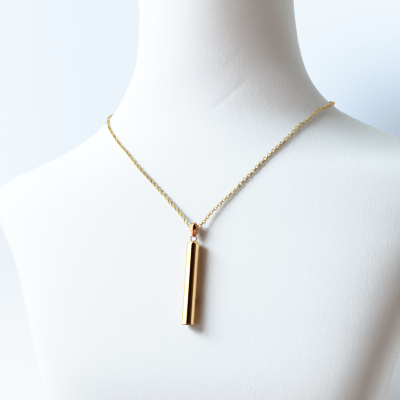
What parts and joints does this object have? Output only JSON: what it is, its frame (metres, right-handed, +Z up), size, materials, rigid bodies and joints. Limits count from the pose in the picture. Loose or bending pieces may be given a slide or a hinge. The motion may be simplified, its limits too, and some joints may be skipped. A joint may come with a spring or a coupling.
{
  "type": "whistle pendant necklace on a neck bust",
  "caption": "Slim polished tube whistle pendant on a leaf-shaped bail and a fine cable chain, worn by a plain cloth-covered neck bust.",
  "frame": {"origin": "on the floor under the middle of the whole object", "axes": "+Z up, +X along the shoulders, -Y towards the front, where the pendant hangs"},
  "size_m": [0.3144, 0.1354, 0.3],
  "materials": {
    "linen": "fine woven cloth, matte",
    "gold": "gold-plated, mirror polished",
    "chain_gold": "gold-plated, polished",
    "rose_gold": "gold-plated, polished"
  },
  "bodies": {
    "stand": {"neck_bust": "linen", "chain": "chain_gold", "clasp": "chain_gold"},
    "bail": {"bail": "rose_gold"},
    "pendant": {"whistle_tube": "gold", "fipple_plug": "gold"}
  },
  "joints": [
    {"name": "bail_lift", "type": "hinge", "parent": "stand", "child": "bail", "pos_m": [0, -0.05352, 0.14076], "axis": [-1, 0, 0], "range_deg": [0, 75]},
    {"name": "tube_swing", "type": "hinge", "parent": "bail", "child": "pendant", "pos_m": [0, -0.0548, 0.13471], "axis": [0, -0.9786, 0.2059], "range_deg": [-25, 25]}
  ]
}
